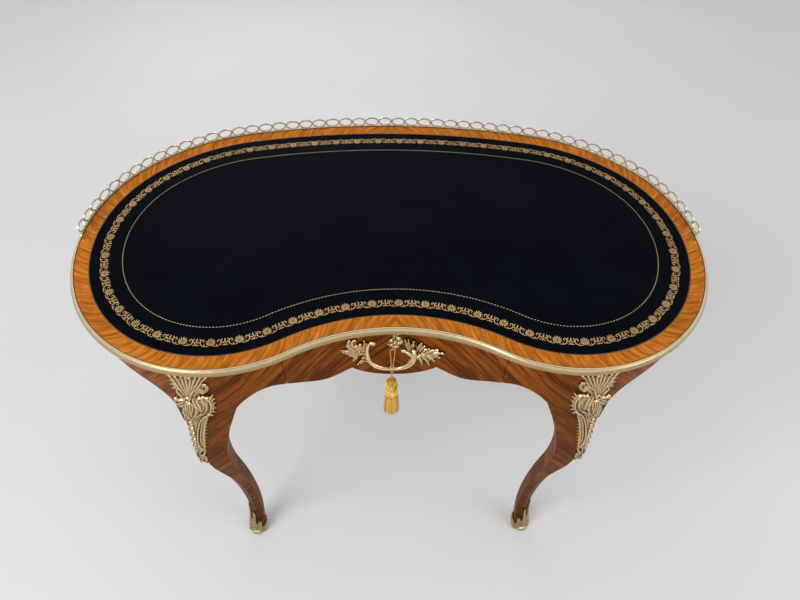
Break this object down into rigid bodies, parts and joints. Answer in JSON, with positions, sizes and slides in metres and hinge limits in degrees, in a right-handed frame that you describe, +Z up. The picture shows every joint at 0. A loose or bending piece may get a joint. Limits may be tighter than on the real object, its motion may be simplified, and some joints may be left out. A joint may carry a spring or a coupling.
{
  "type": "writing table",
  "caption": "Kidney shaped writing table with a leather top, a pierced gallery round the back, curved legs with cast mounts, and one locking drawer with a key and tassel.",
  "frame": {"origin": "on the floor under the middle of the table's outline", "axes": "+X along the table towards the right hand end as the sitter sees it, the hollow front with the drawer faces -Y, the gallery stands at +Y, +Z up"},
  "size_m": [1.118, 0.6217, 0.7858],
  "materials": {
    "kingwood_veneer": "polished",
    "kingwood_banding": "polished",
    "dark_stringing": "polished",
    "navy_leather": "smooth, tooled in gilt",
    "carcass_wood": "planed",
    "drawer_lining_wood": "satin",
    "gilt_brass": "cast and chased",
    "key_brass": "polished",
    "lock_steel": "brushed",
    "screw_steel": "turned",
    "gold_thread": "silky thread"
  },
  "bodies": {
    "table": {"apron_back": "kingwood_veneer", "apron_front_left": "kingwood_veneer", "apron_front_right": "kingwood_veneer", "apron_side_left": "kingwood_veneer", "apron_side_right": "kingwood_veneer", "drawer_kicker_left": "carcass_wood", "drawer_kicker_right": "carcass_wood", "drawer_runner_left": "carcass_wood", "drawer_runner_right": "carcass_wood", "drawer_stop_left": "carcass_wood", "drawer_stop_right": "carcass_wood", "edge_moulding": "gilt_brass", "front_rail": "carcass_wood", "gallery": "gilt_brass", "gallery_pins": "gilt_brass", "inner_line": "dark_stringing", "knee_mount_back_left": "gilt_brass", "knee_mount_back_right": "gilt_brass", "knee_mount_front_left": "gilt_brass", "knee_mount_front_right": "gilt_brass", "leather_surface": "navy_leather", "leg_back_left": "kingwood_veneer", "leg_back_right": "kingwood_veneer", "leg_front_left": "kingwood_veneer", "leg_front_right": "kingwood_veneer", "moulding_pins": "gilt_brass", "mount_pins": "gilt_brass", "outer_line": "dark_stringing", "pocket_side_left": "carcass_wood", "pocket_side_right": "carcass_wood", "sabot_back_left": "gilt_brass", "sabot_back_right": "gilt_brass", "sabot_front_left": "gilt_brass", "sabot_front_right": "gilt_brass", "sabot_screws": "screw_steel", "top_board": "carcass_wood", "top_crossbanding": "kingwood_banding", "top_screws": "screw_steel"},
    "drawer": {"drawer_front": "kingwood_veneer", "drawer_side_left": "drawer_lining_wood", "drawer_side_right": "drawer_lining_wood", "drawer_back": "drawer_lining_wood", "drawer_bottom": "drawer_lining_wood", "drawer_handle": "gilt_brass", "handle_screws": "screw_steel", "lock_case": "lock_steel", "lock_plate": "lock_steel", "lock_screws": "lock_steel", "escutcheon": "gilt_brass"},
    "key": {"key": "key_brass", "key_hitch": "gold_thread"},
    "bolt": {"lock_bolt": "lock_steel"},
    "tassel": {"tassel_cord": "gold_thread", "tassel_knot": "gold_thread", "tassel_head": "gold_thread", "tassel_ruff": "gold_thread", "tassel_skirt": "gold_thread"}
  },
  "joints": [
    {"name": "drawer_slide", "type": "slide", "parent": "table", "child": "drawer", "axis": [0, -1, 0], "range_m": [0, 0.3]},
    {"name": "key_turn", "type": "hinge", "parent": "drawer", "child": "key", "pos_m": [0, -0.235, 0.7425], "axis": [0, -1, 0], "range_deg": [0, 130]},
    {"name": "bolt_throw", "type": "slide", "parent": "drawer", "child": "bolt", "axis": [0, 0, 1], "range_m": [0, 0.007]},
    {"name": "tassel_swing", "type": "hinge", "parent": "drawer", "child": "tassel", "pos_m": [0, -0.25196, 0.7412], "axis": [-1, 0, 0], "range_deg": [-3, 60]}
  ],
  "couplings": [
    {"joint": "key_turn", "follows": "bolt_throw", "rad_per_m": 324.13}
  ]
}
